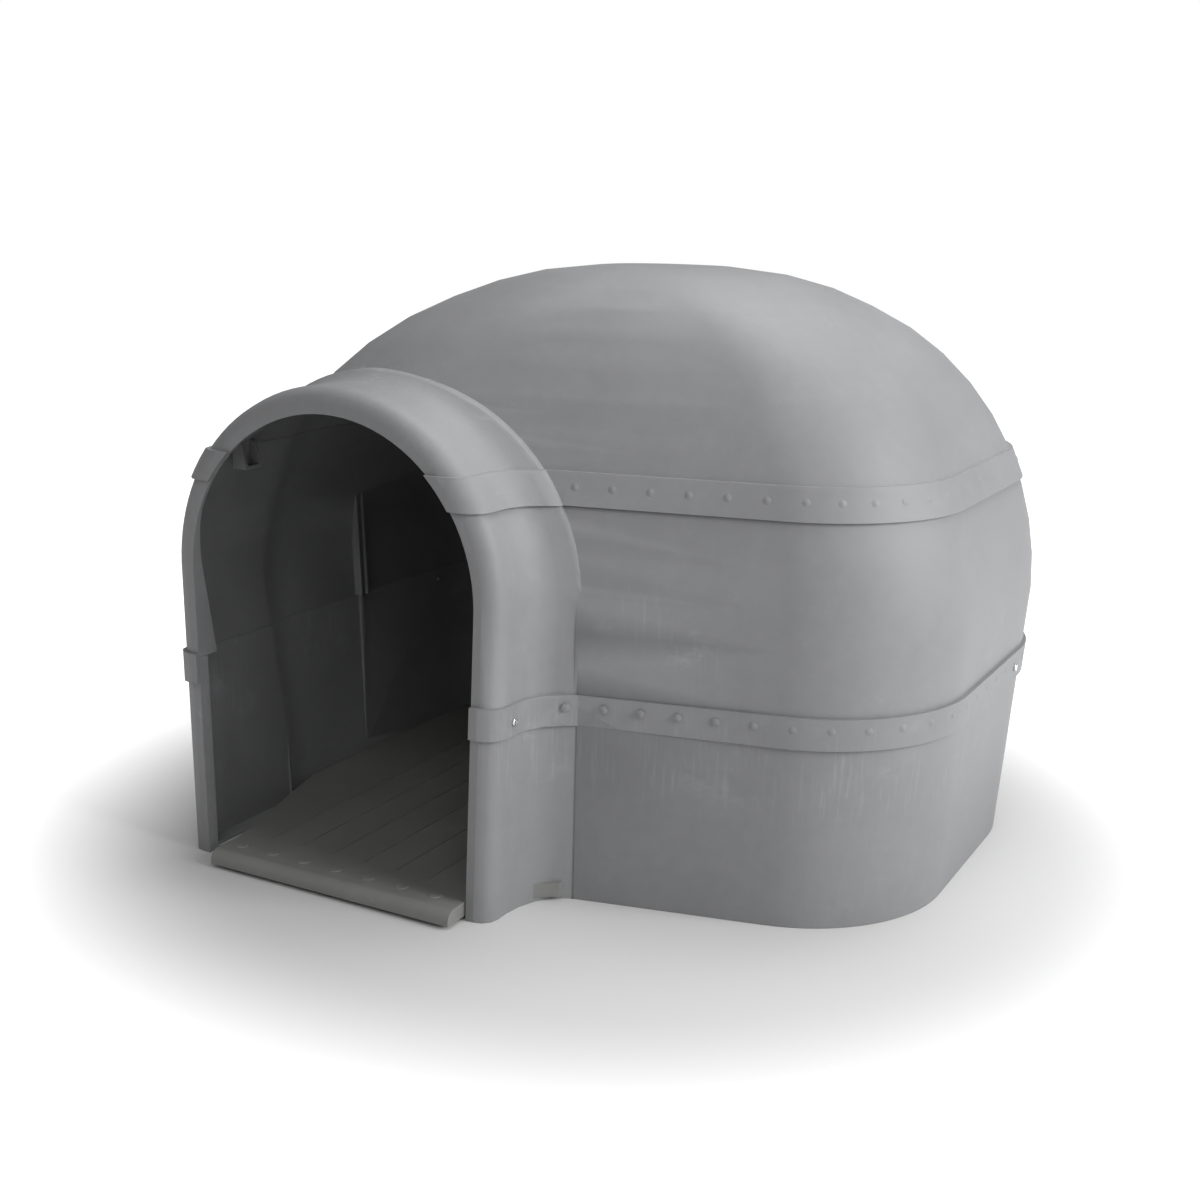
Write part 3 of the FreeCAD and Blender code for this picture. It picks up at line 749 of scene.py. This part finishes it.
class DOGHOUSE_OT_stage(bpy.types.Operator):
    """Add the pale floor, the soft lights and the camera"""
    bl_idname = "dog_house.stage"
    bl_label = "Stage"

    def execute(self, context):
        settings = context.scene.dog_house_stage
        if settings.show_floor:
            self.floor()
        self.world()
        self.lamp("key", (3.1, -0.1, 1.7), (0.1, 0.0, 0.4), 1.8, 96.0)
        self.lamp("fill", (1.0, -2.5, 2.6), (0.0, -0.2, 0.35), 2.0, 24.0)
        self.lamp("top", (0.3, 0.6, 3.0), (0.1, 0.0, 0.4), 2.0, 52.0)
        self.camera(settings)
        context.scene.view_settings.view_transform = "Standard"
        return {"FINISHED"}

    @staticmethod
    def floor():
        """Flat pale floor that keeps the shadow by the house and turns white further out."""
        side = np.linspace(-9.0, 9.0, 3)
        x, y = np.meshgrid(side, side)
        points = np.stack([x, y, np.zeros_like(x) - 0.0004], axis=-1)
        mesh = mesh_from_grid("stage_floor", points, False, False)
        floor = bpy.data.objects.new("stage_floor", mesh)
        bpy.context.scene.collection.objects.link(floor)
        material = bpy.data.materials.new("Pale Floor")
        material.use_nodes = True
        tree = material.node_tree
        shader = tree.nodes["Principled BSDF"]
        shader.inputs["Base Color"].default_value = (0.62, 0.62, 0.62, 1.0)
        shader.inputs["Roughness"].default_value = 0.9
        shader.inputs["Specular IOR Level"].default_value = 0.1
        shader.inputs["Emission Color"].default_value = (1.0, 1.0, 1.0, 1.0)
        path = node_at(tree, "ShaderNodeLightPath", -500, 0)
        seen = math_node(tree, "MAXIMUM", path.outputs["Is Camera Ray"],
                         path.outputs["Is Glossy Ray"], -300, 0)
        place = node_at(tree, "ShaderNodeTexCoord", -900, -300).outputs["Object"]
        length = node_at(tree, "ShaderNodeVectorMath", -700, -300, operation="LENGTH")
        tree.links.new(place, length.inputs[0])
        away = ramp_between(tree, length.outputs["Value"], WHITE_FROM, WHITE_TO, -500, -300)
        tree.links.new(math_node(tree, "MULTIPLY", seen, away, -150, 0),
                       shader.inputs["Emission Strength"])
        mesh.materials.append(material)

    @staticmethod
    def world():
        """Soft surround: plain grey light, and white where the camera sees it."""
        world = bpy.data.worlds.new("Soft Surround")
        bpy.context.scene.world = world
        world.use_nodes = True
        tree = world.node_tree
        tree.nodes.clear()
        out = node_at(tree, "ShaderNodeOutputWorld", 600, 0)
        light = node_at(tree, "ShaderNodeBackground", 200, 100)
        light.inputs["Color"].default_value = (1.0, 1.0, 1.0, 1.0)
        light.inputs["Strength"].default_value = 0.27
        seen = node_at(tree, "ShaderNodeBackground", 200, -100)
        seen.inputs["Color"].default_value = (1.0, 1.0, 1.0, 1.0)
        seen.inputs["Strength"].default_value = 1.0
        path = node_at(tree, "ShaderNodeLightPath", -200, 300)
        pick = math_node(tree, "MAXIMUM", path.outputs["Is Camera Ray"],
                         path.outputs["Is Transmission Ray"], 0, 300)
        mix = node_at(tree, "ShaderNodeMixShader", 400, 0)
        tree.links.new(pick, mix.inputs[0])
        tree.links.new(light.outputs[0], mix.inputs[1])
        tree.links.new(seen.outputs[0], mix.inputs[2])
        tree.links.new(mix.outputs[0], out.inputs["Surface"])

    @staticmethod
    def lamp(name, place, aim, size, power):
        """Square area light at a place, turned towards an aim."""
        data = bpy.data.lights.new(name, "AREA")
        data.size = size
        data.energy = power
        lamp = bpy.data.objects.new(name, data)
        bpy.context.scene.collection.objects.link(lamp)
        lamp.location = place
        lamp.rotation_euler = (Vector(aim) - Vector(place)).to_track_quat("-Z", "Y").to_euler()

    @staticmethod
    def camera(settings):
        """Camera at the photograph's angle, turned about its own axis by the roll."""
        azimuth, elevation, roll = settings.azimuth, settings.elevation, settings.roll
        back = Vector((math.sin(azimuth) * math.cos(elevation),
                       -math.cos(azimuth) * math.cos(elevation), math.sin(elevation)))
        right = (-back).cross(Vector((0.0, 0.0, 1.0))).normalized()
        upward = right.cross(-back)
        x_axis = right * math.cos(roll) + upward * math.sin(roll)
        y_axis = upward * math.cos(roll) - right * math.sin(roll)
        aim = Vector((-0.0319, DOOR_FACE_Y + 0.3845, 0.3608))
        turn = Matrix((x_axis, y_axis, back)).transposed()
        data = bpy.data.cameras.new("camera")
        data.sensor_width = 36.0
        data.lens = settings.lens
        camera = bpy.data.objects.new("camera", data)
        bpy.context.scene.collection.objects.link(camera)
        camera.matrix_world = Matrix.Translation(aim + back * settings.distance) @ turn.to_4x4()
        bpy.context.scene.camera = camera


class DOGHOUSE_PT_panel(bpy.types.Panel):
    """Sidebar panel with each piece's settings and button"""
    bl_idname = "DOGHOUSE_PT_panel"
    bl_label = "Dog House"
    bl_space_type = "VIEW_3D"
    bl_region_type = "UI"
    bl_category = "Dog House"

    def draw(self, context):
        scene = context.scene
        groups = ((scene.dog_house_shell, "dog_house.shells"),
                  (scene.dog_house_bump, "dog_house.snap_bumps"),
                  (scene.dog_house_screw, "dog_house.lap_screws"),
                  (scene.dog_house_floor, "dog_house.floor_panel"),
                  (scene.dog_house_stage, "dog_house.stage"))
        for settings, operator in groups:
            box = self.layout.box()
            for name in settings.__annotations__:
                box.prop(settings, name)
            box.operator(operator)


SETTINGS = (("dog_house_shell", DogHouseShellSettings), ("dog_house_bump", DogHouseBumpSettings),
            ("dog_house_screw", DogHouseScrewSettings), ("dog_house_floor", DogHouseFloorSettings),
            ("dog_house_stage", DogHouseStageSettings))
OPERATORS = (DOGHOUSE_OT_shells, DOGHOUSE_OT_snap_bumps, DOGHOUSE_OT_lap_screws,
             DOGHOUSE_OT_floor_panel, DOGHOUSE_OT_stage)


def register():
    """Registers the settings, the operators and the panel."""
    for name, group in SETTINGS:
        bpy.utils.register_class(group)
        setattr(bpy.types.Scene, name, PointerProperty(type=group))
    for operator in OPERATORS:
        bpy.utils.register_class(operator)
    bpy.utils.register_class(DOGHOUSE_PT_panel)


def unregister():
    """Takes the panel, the operators and the settings away again."""
    bpy.utils.unregister_class(DOGHOUSE_PT_panel)
    for operator in reversed(OPERATORS):
        bpy.utils.unregister_class(operator)
    for name, group in reversed(SETTINGS):
        delattr(bpy.types.Scene, name)
        bpy.utils.unregister_class(group)


def main():
    """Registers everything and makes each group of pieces."""
    register()
    bpy.ops.dog_house.shells()
    bpy.ops.dog_house.snap_bumps()
    bpy.ops.dog_house.lap_screws()
    bpy.ops.dog_house.floor_panel()
    bpy.ops.dog_house.stage()


if __name__ == "__main__":
    main()
